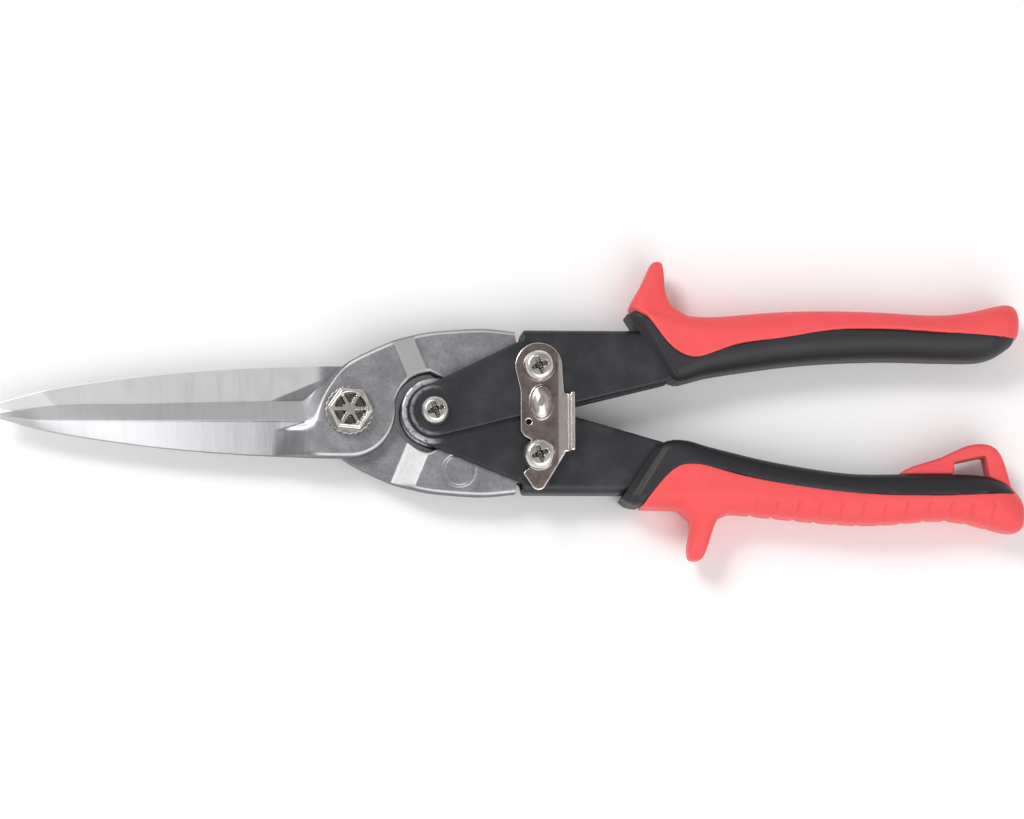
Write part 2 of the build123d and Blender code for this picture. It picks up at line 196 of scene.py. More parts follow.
def jaw_sides():
    """The two sides of the outline, rung by rung: back edge, hub, pocket and inner arm on one side,
    cutting edge, heel and outer arm on the other."""
    link = (LINK_X, LINK_Y)
    back = curve([(TIP_X, -2.3), (-84, -5.9), (-66, -8.8), (-48, -10.9), (-30, -12.2), (-12, -12.95)],
                 BLADE_STEPS)
    hub = even(np.concatenate([[(-12, -12.95), (-5, -13.1)], arc(PIVOT, HUB_RADIUS, -90, 8.3, 60)]),
               HUB_STEPS)
    pocket = arc(HANDLE_PIVOT, POCKET_RADIUS, 170, 95, ARM_STEPS)
    inner = even([(23.0, 11.16), (34, 5.5), (47, 5.5)], ARM_STEPS)
    eye_low = even(np.concatenate([[(47, 5.5)], arc(link, EYE_RADIUS, -90, 0, 40)]), ARM_STEPS)
    edge = curve([(TIP_X, -0.9), (-92, 0.2), (-79, 1.6), (-56, 2.1), (-34, 2.7), (-12.9, 3.2)], BLADE_STEPS)
    shoulder_of_heel = curve([(-3.4, 11.8), (1.7, 15.0), (8, 18.1)], 20)
    heel = even(np.concatenate([[(-12.9, 3.2), (-11.9, 3.9)], shoulder_of_heel]), HUB_STEPS)
    outer = curve([(8, 18.1), (13.6, 20.4), (20, 22.2)], ARM_STEPS)
    shoulder = curve([(20, 22.2), (25.6, 23.0), (37.5, 23.7), (46.9, 22.9)], ARM_STEPS)
    eye_top = even(np.concatenate([[(46.9, 22.9), (47.3, 19.5)], arc(link, EYE_RADIUS, 90, 0, 40)]),
                   ARM_STEPS)
    low = np.concatenate([back, hub[1:], pocket[1:], inner[1:], eye_low[1:]])
    high = np.concatenate([edge, heel[1:], outer[1:], shoulder[1:], eye_top[1:]])
    return low, high


def blade_height(x, y, low_y, edge_y):
    """Two bevels that meet in a ridge: height falls in a straight line from the ridge to each edge.
    The ridge runs straight until the tapering blade reaches it, and then on to the tip inside it."""
    ridge = 2.1 + 2.2 * smooth(x, -112, -4)
    ridge_y = np.maximum(RIDGE_Y, low_y + 0.35 * (edge_y - low_y))
    to_edge = (y - ridge_y) / np.maximum(edge_y - ridge_y, 0.1)
    to_back = (ridge_y - y) / np.maximum(ridge_y - low_y, 0.1)
    upper = ridge - (ridge - 0.75) * to_edge
    lower = ridge - (ridge - 1.3) * to_back
    fold = 0.06
    return 0.5 * (upper + lower - np.sqrt((upper - lower) ** 2 + fold * fold))


def jaw_heights(x, y, low_y, edge_y):
    """The forging's top and bottom: the ground blade, an S-shaped step up to the hub that runs in
    gently on the wide bevel, and a ramp that carries both faces of the arm down to the middle plane."""
    step_x = -10.4 + 0.055 * np.maximum(y + 3, 0) ** 1.8
    run_in = 1.9 + 9.5 * smooth(-y, 2.8, 6.0)
    on_hub = smooth(x, step_x - run_in, step_x + 1.9)
    top = blade_height(x, y, low_y, edge_y) * (1 - on_hub) + HUB_TOP * on_hub
    along = x * cos(radians(STEP_ANGLE)) + y * sin(radians(STEP_ANGLE))
    ramp = softened_ramp(along, RAMP_START, RAMP_END, 0.5)
    top = top - (HUB_TOP - ARM_HALF) * ramp * on_hub
    bottom = BLADE_GAP - (ARM_HALF + BLADE_GAP) * ramp
    return top, bottom, on_hub


def jaw_rings(dimpled):
    """One ring per rung: across the top from the back edge to the cutting edge, and back underneath.
    Points crowd towards both sides, where the edges are rounded."""
    low, high = jaw_sides()
    length = np.linalg.norm(high - low, axis=1)[:, None]
    share = (1 - np.cos(np.linspace(0, pi, 84))) / 2
    across = low[:, None] + share[None, :, None] * (high - low)[:, None]
    x, y = across[..., 0], across[..., 1]
    top, bottom, on_hub = jaw_heights(x, y, low[:, 1][:, None], high[:, 1][:, None])
    inwards = np.minimum(share, 1 - share)[None] * length
    top = top - edge_drop(inwards, 0.25 + 1.35 * on_hub, 0.2 + 0.75 * on_hub)
    on_arm = smooth(-bottom, 0.2, 2.5)
    bottom = bottom + edge_drop(inwards, 0.2 + 1.2 * on_arm, 0.02 + 0.75 * on_arm)
    if dimpled:
        bottom = bottom + ring_mark(x, y)
    upper = np.stack([x, y, top], -1)
    under = np.stack([x, y, bottom], -1)[:, ::-1]
    return np.concatenate([upper, under], 1)


def ring_mark(x, y):
    """A plain round inspection mark on the arm: a pressed circle, 0.2 mm deep, round a shallow dish."""
    radius = np.hypot(x - 31.0, y - 16.5)
    groove = 0.20 * np.exp(-(((radius - 4.4) / 0.42) ** 2))
    return groove + 0.12 * (1 - smooth(radius, 2.9, 4.1))


def jaw(node, turned_over):
    """Make one jaw. The rear one is the same forging turned half a turn about X."""
    rings = jaw_rings(turned_over)
    if turned_over:
        rings = rings * np.array([1, -1, -1])
    piece = stack_of_rings(node + "_forging", rings)
    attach(piece, node)
    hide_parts(node)
    return piece


front_jaw = jaw("front_jaw", False)
rear_jaw = jaw("rear_jaw", True)

# %% [markdown]
# ## Pressed and tumbled parts
# Nuts, washers, the channels and the latch get their look from their edges: a tumbled or painted edge
# catches the light where a mathematical one doesn't. A Bevel modifier would need clean corners, and
# pressed parts have holes and bends running into each other, so their shape is recast instead. The
# copy of the CAD mesh is turned into small voxels and relaxed, as a tumbling drum would do it. How far
# each point moved inwards is kept as an attribute, because that is where paint wears through first.

# %% Recasting a shape in voxels
CHANNEL_VOXEL = 0.40


def body_of(node):
    """The body that a CAD node belongs to."""
    bodies = frame["record"]["behaviour"]["bodies"]
    return next(body for body, members in bodies.items() if node in members)


def copy_of(node):
    """A welded copy of a CAD node's mesh. The node itself is left alone."""
    mesh = frame["nodes"][node].data.copy()
    mesh.materials.clear()
    work = bmesh.new()
    work.from_mesh(mesh)
    bmesh.ops.remove_doubles(work, verts=work.verts, dist=1e-6)
    work.to_mesh(mesh)
    work.free()
    piece = bpy.data.objects.new(node + "_copy", mesh)
    bpy.context.scene.collection.objects.link(piece)
    return piece


def read(mesh, of, field, width=3, kind=np.float32):
    """A property of every element of a mesh, as an array with one row per element."""
    items = getattr(mesh, of)
    values = np.zeros(len(items) * width, kind)
    items.foreach_get(field, values)
    return values.reshape(-1, width)


def relaxed(points, edges, rounds):
    """Move every point half way to the mean of its neighbours, a few times over."""
    ends = np.concatenate([edges, edges[:, ::-1]])
    count = len(points)
    degree = np.bincount(ends[:, 0], minlength=count)[:, None]
    for _ in range(rounds):
        total = np.stack([np.bincount(ends[:, 0], points[ends[:, 1], axis], count) for axis in range(3)], -1)
        points = 0.5 * points + 0.5 * total / degree
    return points


def recast(name, node, voxel, rounds, extra=(), pressed=None):
    """Join a copy of a CAD node with extra closed pieces, remesh them in voxels of a size in mm, relax
    the result, press a pattern into it, and keep how far each point sank as the attribute 'edge'."""
    pieces = [copy_of(node), *extra]
    with bpy.context.temp_override(active_object=pieces[0], selected_editable_objects=pieces):
        bpy.ops.object.join()
    piece = pieces[0]
    piece.name = name
    melt = piece.modifiers.new("melt", "REMESH")
    melt.mode = "VOXEL"
    melt.voxel_size = voxel * MM
    mesh = bpy.data.meshes.new_from_object(piece.evaluated_get(bpy.context.evaluated_depsgraph_get()))
    piece.modifiers.clear()
    piece.data = mesh
    raw = read(mesh, "vertices", "co").astype(float)
    normals = read(mesh, "vertex_normals", "vector").astype(float)
    edges = read(mesh, "edges", "vertices", 2, np.int32)
    points = relaxed(raw, edges, rounds)
    sunk = ((raw - points) * normals).sum(1) / (0.45 * voxel * MM)
    if pressed is not None:
        points = points - normals * (pressed(points / MM) * MM)[:, None]
    mesh.vertices.foreach_set("co", points.astype(np.float32).ravel())
    mark = mesh.attributes.new("edge", "FLOAT", "POINT")
    mark.data.foreach_set("value", np.clip(sunk, 0, 1).astype(np.float32))
    mesh.shade_smooth()
    mesh.update()
    print(name, "faces", len(mesh.polygons))
    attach(piece, body_of(node))
    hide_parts(node)
    return piece


def latch_relief(points):
    """The latch's thumb dimple: a raised oval dome beside the small hole, only on the upper face."""
    x, y = points[:, 0] - LINK_X - 0.6, points[:, 1] - LINK_Y + 10.2
    reach = np.hypot(x / 2.9, y / 4.4)
    dome = 0.85 * (1 - smooth(reach, 0.25, 1.0))
    return -dome * smooth(points[:, 2], 17.2, 17.6)


upper_channel = recast("upper_channel_painted", "upper_handle_channel", CHANNEL_VOXEL, 4)
lower_channel = recast("lower_channel_painted", "lower_handle_channel", CHANNEL_VOXEL, 4)
latch = recast("latch_plated", "latch_plate", 0.17, 9, pressed=latch_relief)
tumbled = [recast(node + "_tumbled", node, 0.15, 4) for node in (
    "pivot_washer_front", "pivot_washer_rear", "pivot_lock_nut", "upper_link_nut", "lower_link_nut",
    "handle_pivot_nut", "latch_spring_washer", "lower_link_collar")]

# %% [markdown]
# ## Screw and bolt heads
# A screw is turned, so it is a profile spun about its axis, and its recess is pressed in afterwards.
# As arrays both are one step: the rings of the head have a height that also depends on the angle, so
# the cross recess and the bolt's six pockets are dips in the same surface.

# %% Spun heads with pressed recesses
def spun(name, centre, profile, dip, outline=None, around=160):
    """Spin a profile of (radius, height, share of outline, share of dip) about a vertical axis.
    outline(angle) scales the radius, which makes a hexagon, and dip(x, y) sinks the crown."""
    profile = np.asarray(profile, float)
    angle = np.linspace(0, 2 * pi, around, endpoint=False)
    scale = 1.0 if outline is None else 1 + profile[:, 2:3] * (outline(angle) - 1)
    radius = profile[:, :1] * scale * np.ones_like(angle)
    x, y = radius * np.cos(angle), radius * np.sin(angle)
    sunk = dip(x, y) * profile[:, 3:4]
    rings = np.stack([x + centre[0], y + centre[1], profile[:, 1:2] - sunk], -1)
    return stack_of_rings(name, rings, sunk / sunk.max())


def cross_recess(x, y):
    """A cross-shaped socket: two tapered slots, deepest in the middle and 20 degrees off square."""
    turn = radians(20)
    u, v = x * cos(turn) + y * sin(turn), y * cos(turn) - x * sin(turn)
    reach = np.hypot(u, v)
    arm = np.minimum(np.abs(u), np.abs(v))
    wide = 0.80 - 0.14 * reach
    slot = 1 - smooth(arm, wide - 0.12, wide + 0.12)
    return 1.6 * slot * (1 - smooth(reach, 1.7, 2.6)) + 0.6 * (1 - smooth(reach, 0.6, 1.3))


def pan_head(node, centre, head, seat, top, end, shank=2.5):
    """A pan head: a flat crown rounded off to its rim, a straight shank below."""
    t = np.linspace(0, 1, 56)
    fall = 0.15 * t**2 + (top - seat - 0.55) * (1 - np.sqrt(1 - np.clip((t - 0.62) / 0.38, 0, 0.995) ** 2))
    crown = [(head * share, top - drop, 0, 1) for share, drop in zip(t, fall)]
    side = [(head, seat + 0.2, 0, 0), (head - 0.2, seat, 0, 0), (shank, seat, 0, 0), (shank, end, 0, 0)]
    piece = spun(node + "_turned", centre, crown + side, cross_recess)
    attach(piece, body_of(node))
    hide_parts(node)
    return piece


def hexagon(angle):
    """Distance to the side of a hexagon with corners at radius 1, with its corners just rounded."""
    turned = np.mod(angle + radians(5), pi / 3) - pi / 6
    return np.minimum(cos(pi / 6) / np.cos(turned), 0.985)


def bolt_pockets(x, y):
    """The bolt's hollow crown: a shallow dish with six deep pockets between its spokes."""
    radius = np.hypot(x, y)
    angle = np.arctan2(y, x)
    dish = 0.55 * (1 - smooth(radius, 4.2, 4.8))
    spoke = np.abs(np.mod(angle * 3 / pi + 0.5, 1) - 0.5) * pi / 3 * radius
    pocket = smooth(spoke, 0.38, 0.8) * smooth(radius, 1.5, 2.1) * (1 - smooth(radius, 3.9, 4.4))
    return dish + 1.5 * pocket


def pivot_bolt():
    """A hexagon-headed bolt: chamfered crown, flat sides and a plain shaft down to the resting plane."""
    base, top = 6.2, 11.0
    crown = [(r, top - 0.45 * smooth(r, 5.4, 6.5), smooth(r, 3.0, 5.8), 1)
             for r in np.linspace(0, 6.35, 60)]
    side = [(6.5, top - 0.75, 1, 0), (6.5, base + 0.2, 1, 0), (6.3, base, 1, 0),
            (4.0, base, 0, 0), (4.0, -9.3, 0, 0), (3.8, -9.5, 0, 0)]
    piece = spun("pivot_bolt_turned", PIVOT, crown + side, bolt_pockets, hexagon, 240)
    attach(piece, "front_jaw")
    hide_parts("pivot_bolt")
    return piece


main_bolt = pivot_bolt()
upper_screw = pan_head("upper_link_screw", (LINK_X, LINK_Y), 4.5, 8.7, 11.5, -9.4)
lower_screw = pan_head("lower_link_screw", (LINK_X, -LINK_Y), 4.5, 8.35, 11.15, -7.5, 2.0)
pivot_screw = pan_head("handle_pivot_screw", HANDLE_PIVOT, 4.1, 7.0, 9.8, -9.4)

# %% [markdown]
# ## The grips
# Each grip is a hard black core moulded over the steel channel, with a softer red skin moulded over
# that. A hand grip has no flat side to start a box from, so it is a ladder too: each rung crosses the
# grip from the palm side to the outer side, and a rounded rectangle stands on it. The seam between
# the two materials is a curve drawn on the side of the tool, and the distance to that curve says
# where the core sinks out of sight.

# %% Rungs and sections
# each rung is (inner point, outer point, half thickness, corner radius) in millimetres
UPPER_GRIP = [
    ((91.4, 7.9), (77.6, 29.3), 8.6, 3.0), ((96.0, 9.2), (86.5, 29.0), 9.0, 4.0),
    ((105.0, 11.2), (100.0, 27.2), 9.2, 5.5), ((128.0, 14.3), (127.0, 29.0), 9.25, 6.0),
    ((150.0, 15.5), (150.0, 28.9), 9.25, 6.0), ((168.0, 15.3), (168.0, 28.2), 9.2, 6.0),
    ((180.5, 15.6), (183.0, 30.6), 9.0, 6.0), ((187.4, 18.8), (189.0, 31.0), 7.6, 5.2),
    ((190.3, 22.4), (190.7, 27.6), 4.6, 2.4),
]
LOWER_GRIP = [
    ((87.8, -7.9), (75.6, -26.2), 8.6, 3.0), ((95.0, -8.0), (85.0, -26.8), 9.0, 4.0),
    ((103.0, -10.0), (98.5, -27.4), 9.3, 5.5), ((120.0, -13.9), (117.0, -28.9), 9.4, 6.0),
    ((141.0, -17.0), (141.0, -31.0), 9.4, 6.0), ((160.0, -17.1), (160.0, -30.3), 9.3, 6.0),
    ((179.0, -17.4), (180.0, -31.6), 9.0, 6.0), ((187.4, -20.4), (189.0, -33.4), 7.6, 5.2),
    ((191.2, -25.2), (191.5, -30.4), 4.6, 2.4),
]
UPPER_SEAM = [(76, 33.5), (85.8, 24.7), (91.4, 17.9), (97.5, 15.3), (107, 18.3), (120, 20.6), (137, 23.2),
              (150, 23.7), (165, 23.0), (196, 21.5)]
LOWER_SEAM = [(77, -32.5), (85.8, -22.1), (93.7, -15.1), (105.6, -16.9), (122.7, -20.5), (145.4, -23.2),
              (171, -23.4), (188.7, -22.8)]
UPPER_RED_SIDE = [(196, 60), (76, 60)]
LOWER_RED_SIDE = [(184.6, -16.5), (184.6, 0), (200, 0), (200, -60), (77, -60)]
SKIN_DEPTH = 2.0


def distance_inside(x, y, border):
    """Distance from points to a closed border, positive inside it: the nearest of all its sides, and
    a point is inside when a ray from it crosses the border an odd number of times."""
    start, end = border, np.roll(border, -1, 0)
    side = end - start
    px, py = x[..., None] - start[:, 0], y[..., None] - start[:, 1]
    along = np.clip((px * side[:, 0] + py * side[:, 1]) / (side**2).sum(1), 0, 1)
    away = np.hypot(px - along * side[:, 0], py - along * side[:, 1]).min(-1)
    crosses = (start[:, 1] > y[..., None]) != (end[:, 1] > y[..., None])
    rise = np.where(side[:, 1] == 0, 1, side[:, 1])
    left = px < side[:, 0] * py / rise
    return np.where((crosses & left).sum(-1) % 2 == 1, away, -away)


def section_walk(corner=9, wide=34, tall=18):
    """Once round a rounded rectangle, in units: where the corner's centre is, as shares of the
    half sizes, and which way the surface faces from it."""
    centre, facing = [], []
    signs = [(1, 1), (-1, 1), (-1, -1), (1, -1)]
    for i, (a, b) in enumerate(signs):
        turn = np.radians(90 * i + np.linspace(0, 90, corner))
        centre.append(np.tile([a, b], (corner, 1)))
        facing.append(np.stack([np.cos(turn), np.sin(turn)], -1))
        share = np.linspace(0, 1, (wide if i % 2 == 0 else tall) + 2)[1:-1, None]
        centre.append(np.array([a, b]) * (1 - share) + np.array(signs[(i + 1) % 4]) * share)
        facing.append(np.tile(facing[-1][-1], (len(share), 1)))
    return np.concatenate(centre), np.concatenate(facing)


def on_rungs(stations, inset):
    """A rounded rectangle that stands on each rung, drawn in by inset: corner centre + radius times
    the way it faces. inset is a number per station, or one for every point, and it stops short of
    the middle, so that a section never folds flat."""
    inner, outer = stations[:, None, :2], stations[:, None, 2:4]
    half, corner = stations[:, None, 4], stations[:, None, 5]
    reach = np.linalg.norm(outer - inner, axis=-1) / 2
    across = (outer - inner) / (2 * reach[..., None])
    centre, facing = section_walk()
    corner = np.minimum(corner, np.minimum(reach, half) * 0.98)
    inset = np.minimum(inset, 0.75 * np.minimum(reach, half))
    radius = np.maximum(corner - inset, 0.05)
    a = centre[:, 0] * (reach - corner) + facing[:, 0] * radius
    b = centre[:, 1] * (half - corner) + facing[:, 1] * radius
    a = np.sign(a) * np.maximum(np.abs(a) - np.maximum(inset - corner, 0), 0)
    flat = (inner + outer) / 2 + across * a[..., None]
    return np.concatenate([flat, b[..., None]], -1)


def stations_on(rungs, count):
    """Rungs between the given ones on smooth curves, spaced evenly along the middle of the grip."""
    rows = np.array([[*inner, *outer, half, corner] for inner, outer, half, corner in rungs], float)
    fine = cubics(rows, 60 * len(rungs))
    middle = (fine[:, :2] + fine[:, 2:4]) / 2
    along = np.concatenate([[0], np.cumsum(np.linalg.norm(np.diff(middle, axis=0), axis=1))])
    where = np.linspace(0, along[-1], count)
    return np.stack([np.interp(where, along, column) for column in fine.T], -1), where


def grip_core(node, rungs, seam, red_side):
    """The core: the whole section, sunk under the skin on the red side of the seam, with a chamfered
    collar at its front and a shallow moulded step behind it."""
    stations, along = stations_on(rungs, 330)
    border = np.concatenate([curve(seam, 90), np.array(red_side, float)])
    plain = on_rungs(stations, 0)
    red = distance_inside(plain[..., 0], plain[..., 1], border)
    sunk = SKIN_DEPTH * smooth(red, -0.40, 1.3)
    chamfer = 1.9 * (1 - softened_ramp(along, -0.2, 2.3, 0.5))[:, None]
    step = 0.22 * (1 - smooth(along, 3.3, 3.8))[:, None]
    last = 1.6 * (1 - np.sqrt(1 - np.clip(1 - (along[-1] - along) / 1.8, 0, 1) ** 2))[:, None]
    piece = stack_of_rings(node + "_moulded", on_rungs(stations, sunk + chamfer + step + last))
    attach(piece, body_of(node))
    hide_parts(node)
    return piece


upper_core = grip_core("upper_grip_core", UPPER_GRIP, UPPER_SEAM, UPPER_RED_SIDE)
lower_core = grip_core("lower_grip_core", LOWER_GRIP, LOWER_SEAM, LOWER_RED_SIDE)

# %% [markdown]
# The red skin carries a guard horn that keeps the hand off the blades, and on the lower grip a loop
# to hang the snips by. Rubber has no sharp inner corners, so the skin is recast together with a horn
# that grows out of it: the voxels fuse them, and relaxing leaves the fillets of a real mould. The
# finger grooves are pressed in last, because remeshing would blur them.

# %% The skin, its horn and its grooves
UPPER_HORN = [
    ((83.0, 25.6), (98.5, 25.0), 7.6, 3.4), ((80.6, 28.6), (96.0, 27.2), 7.6, 3.2),
    ((80.9, 32.4), (91.3, 30.4), 6.6, 2.8), ((83.2, 36.5), (89.6, 35.0), 5.6, 2.4),
    ((84.8, 40.0), (89.3, 39.4), 4.6, 1.9), ((86.0, 42.2), (89.0, 42.3), 3.4, 1.3),
    ((86.7, 43.1), (88.4, 43.2), 2.0, 0.7),
]
LOWER_HORN = [
    ((98.0, -18.5), (104.0, -18.5), 9.0, 2.6), ((96.5, -22.5), (106.0, -22.5), 9.35, 3.4),
    ((93.6, -26.8), (108.6, -27.2), 8.0, 3.2), ((96.6, -30.4), (104.0, -29.9), 6.4, 2.8),
    ((96.5, -34.0), (102.3, -34.0), 5.6, 2.4), ((95.8, -38.0), (100.9, -38.3), 4.8, 2.0),
    ((95.9, -40.6), (99.9, -40.7), 3.6, 1.5), ((96.6, -41.5), (98.9, -41.5), 2.2, 0.9),
]


def proud(points):
    """The skin stands 0.13 mm proud of the core, which gives the joint its crisp edge."""
    return np.full(len(points), -0.13)


def grooves(points):
    """Twelve slanted grooves on the outer side of the lower grip, as a depth in millimetres. Each is
    steep on the side of the blades and runs out softly towards the butt."""
    x, y, z = points.T
    along = (x - 0.22 * (y + 26)) / 6.2 - 18.45
    beside = (np.mod(along + 0.5, 1) - 0.5) * 6.2
    count = (along > -0.5) & (along < 11.5)
    zone = smooth(-y, 25.0, 26.2) * (1 - 0.55 * smooth(-y, 29.6, 31.0))
    wall = np.exp(-((beside / np.where(beside < 0, 0.30, 1.25)) ** 2))
    return 0.52 * wall * zone * count + proud(points)


def horn(rungs):
    """The guard horn as a closed bar on its own rungs."""
    return stack_of_rings("horn", on_rungs(stations_on(rungs, 70)[0], 0))


upper_skin = recast("upper_grip_skin", "upper_grip_overmould", 0.36, 10, [horn(UPPER_HORN)], proud)
lower_skin = recast("lower_grip_skin", "lower_grip_overmould", 0.36, 10, [horn(LOWER_HORN)], grooves)

# %% [markdown]
# ## Writing materials
# A material is a formula, so it is written as one. Wire wraps a socket and gives it Python's
# operators; each operator adds the Math node that does the same sum. Look owns a node tree and adds
# any other node from its type, its settings and its inputs.

# %% Shader formulas in Python
class Wire:
    """One output socket of a look's node tree, with arithmetic."""

    def __init__(self, look, socket):
        self.look = look
        self.socket = socket

    def math(self, operation, *others):
        return self.look.node("ShaderNodeMath", {"operation": operation}, dict(enumerate((self, *others))))

    def __add__(self, other):
        return self.math("ADD", other)

    __radd__ = __add__

    def __sub__(self, other):
        return self.math("SUBTRACT", other)

    def __rsub__(self, other):
        return self.look.node("ShaderNodeMath", {"operation": "SUBTRACT"}, {0: other, 1: self})

    def __mul__(self, other):
        return self.math("MULTIPLY", other)

    __rmul__ = __mul__

    def __truediv__(self, other):
        return self.math("DIVIDE", other)

    def step(self, low, high):
        """0 below low, 1 above high and a smooth S between, or the other way round if low > high."""
        ends = {"To Min": 0.0, "To Max": 1.0, "From Min": low, "From Max": high}
        if low > high:
            ends = {"To Min": 1.0, "To Max": 0.0, "From Min": high, "From Max": low}
        settings = {"interpolation_type": "SMOOTHSTEP"}
        return self.look.node("ShaderNodeMapRange", settings, {"Value": self, **ends})


class Nodes:
    """A node tree, and the one way in which nodes are added to it."""

    def __init__(self, tree):
        self.tree = tree

    def node(self, kind, settings, inputs, output=0):
        made = self.tree.nodes.new(kind)
        for setting, value in settings.items():
            setattr(made, setting, value)
        for socket, value in inputs.items():
            if isinstance(value, Wire):
                self.tree.links.new(value.socket, made.inputs[socket])
            else:
                made.inputs[socket].default_value = value
        return Wire(self, made.outputs[output])

    def split(self, vector):
        """X, Y and Z of a vector."""
        first = self.node("ShaderNodeSeparateXYZ", {}, {0: vector})
        return [Wire(self, socket) for socket in first.socket.node.outputs]

    def blend(self, share, one, other):
        """A colour between two colours."""
        inputs = {0: share, 6: colour(one), 7: colour(other)}
        return self.node("ShaderNodeMix", {"data_type": "RGBA"}, inputs, 2)


class Look(Nodes):
    """One material: a Principled shader and the nodes that feed it."""

    def __init__(self, name, **fixed):
        self.material = bpy.data.materials.new(name)
        self.material.use_nodes = True
        super().__init__(self.material.node_tree)
        self.shader = self.tree.nodes["Principled BSDF"]
        for socket, value in fixed.items():
            self.shader.inputs[socket.replace("_", " ").title().replace("Ior", "IOR")].default_value = value
        self.place = self.node("ShaderNodeTexCoord", {}, {}, "Object")

    def stretched(self, scale, turn=0.0):
        """The place on the piece, turned about Z and stretched."""
        turned = self.node("ShaderNodeMapping", {"vector_type": "TEXTURE"},
                           {"Vector": self.place, "Rotation": (0, 0, turn)})
        return self.node("ShaderNodeVectorMath", {"operation": "MULTIPLY"}, {0: turned, 1: scale})

    def noise(self, size_mm, detail=3.0, rough=0.55, at=None):
        """Cloudy noise from 0 to 1 whose lumps are about size_mm across."""
        return self.node("ShaderNodeTexNoise", {"noise_dimensions": "3D"},
                         {"Vector": at or self.place, "Scale": 1000.0 / size_mm, "Detail": detail,
                          "Roughness": rough})

    def mark(self, name):
        """A number that the mesh carries at each point."""
        return self.node("ShaderNodeAttribute", {"attribute_name": name}, {}, "Fac")

    def bump(self, height_mm, strength):
        """Dents and bumps of a height in millimetres."""
        inputs = {"Height": height_mm, "Distance": MM, "Strength": strength}
        return self.node("ShaderNodeBump", {}, inputs)

    def set(self, **links):
        """Join formulas to the shader, and give the finished material."""
        names = {"colour": "Base Color", "roughness": "Roughness", "metallic": "Metallic", "normal": "Normal"}
        for name, value in links.items():
            self.tree.links.new(value.socket, self.shader.inputs[names[name]])
        return self.material


def colour(value):
    """A wire as it is, or three numbers made into a colour."""
    return value if isinstance(value, Wire) else (*value, 1.0)


def ring_about(look, centre, low, high, soft=0.35):
    """1 between two radii about a vertical axis and 0 elsewhere, in millimetres, soft at both rims."""
    x, y, _ = look.split(look.place)
    dx, dy = x - centre[0] * MM, y - centre[1] * MM
    distance = (dx * dx + dy * dy).math("SQRT") * 1000.0
    return distance.step(low - soft, low + soft) * distance.step(high + soft, high - soft)


# %% [markdown]
# ## Forged and ground steel
# The jaws leave the forge with a fine pitted grey skin, and only the blade's bevels are ground. One
# material holds both finishes: the grey skin everywhere, and a brighter, smoother one with fine
# scratches across the blade wherever the place is ahead of the hub. Keeping them in one formula lets
# the grinding fade into the forging as it does under a belt. Light and shade are painted into the
# colour as well: side walls darker, sloped faces paler, and a dark painted shadow of the front jaw's
# heel on the flat of the rear blade.

# %% Forged steel with a ground blade
def forged_steel(name, ground_tone):
    """The steel's look and the wires that the two jaws build on: the place, the painted shade of the
    side walls, two noises, and the tones of the forging skin, with its painted shade and painted
    highlight, and of the ground metal."""
    look = Look(name, metallic=1.0)
    x, y, _ = look.split(look.place)
    facing = look.split(look.node("ShaderNodeNewGeometry", {}, {}, "Normal"))[2].math("ABSOLUTE")
    # painted shade: faces that turn away from upright, the side walls, get a darker tone
    side = facing.step(0.45, 0.18)
    # painted highlight: faces sloped by some 10 to 45 degrees, the ramps, fillets and rounded edges, are
    # paler
    slope_highlight = facing.step(0.990, 0.965) * facing.step(0.70, 0.90)
    pit = look.noise(0.8, 5.0, 0.62)
    cloud = look.noise(7.0, 4.0, 0.62)
    streak = look.noise(1.0, 2.0, 0.5, look.stretched((0.5, 0.07, 0.07)))
    forged = look.blend(cloud.step(0.3, 0.7), (0.215, 0.211, 0.222), (0.31, 0.305, 0.32))
    forged = look.blend(pit.step(0.42, 0.72) * 0.40, forged, (0.13, 0.13, 0.135))
    # painted highlight on the sloped faces
    forged = look.blend(slope_highlight * 0.85, forged, (0.62, 0.615, 0.62))
    # painted shade on the side walls of the forging skin
    forged = look.blend(side * 0.6, forged, (0.14, 0.14, 0.145))
    ground = look.blend(streak.step(0.5, 0.72) * 0.14, ground_tone, tuple(0.6 * part for part in ground_tone))
    return look, x * 1000.0, y * 1000.0, side, pit, cloud, forged, ground


def ground_and_forged(look, x, side, pit, cloud, forged, ground):
    """Finish the steel: scratched and smooth ahead of the hub, pitted and matte behind it, with painted shade
    on the ground blade's side walls.
    """
    blade = x.step(-6.5, -11.0)
    scratch = look.noise(1.0, 3.0, 0.6, look.stretched((6.0, 0.14, 0.14), radians(4)))
    ground = look.blend(scratch.step(0.35, 0.72) * 0.14, ground, (0.85, 0.85, 0.86))
    # painted shade on the side walls of the ground blade as well
    ground = look.blend(side, ground, (0.12, 0.12, 0.13))
    rough = (0.47 + 0.16 * pit) * (1 - blade) + (0.27 + 0.10 * scratch + 0.05 * cloud) * blade
    height = pit * (1 - blade) * 0.075 + scratch * blade * 0.008
    tone = look.blend(blade, forged, ground)
    return look.set(colour=tone, roughness=rough, normal=look.bump(height, 0.9))


def front_jaw_steel():
    """The wide bevel of the front blade fades from bright at the tip to darker towards the hub, a painted
    reflection, with one darker stripe of painted shade near the hub."""
    look, x, y, side, pit, cloud, forged, ground = forged_steel("ground_forging_front", (0.60, 0.60, 0.615))
    wide_bevel = y.step(RIDGE_Y + 0.12, RIDGE_Y - 0.12)
    # painted reflection: the wide bevel darkens from the tip towards the hub
    reflection_falloff = x.step(-72, -22) * wide_bevel
    # painted shade: a darker stripe across the wide bevel just before the hub
    shade_stripe = x.step(-27, -23.5) * x.step(-17, -21) * wide_bevel
    ground = look.blend(reflection_falloff * 0.85, ground, (0.20, 0.20, 0.21))
    ground = look.blend(shade_stripe * 0.40, ground, (0.12, 0.12, 0.13))
    return ground_and_forged(look, x, side, pit, cloud, forged, ground)


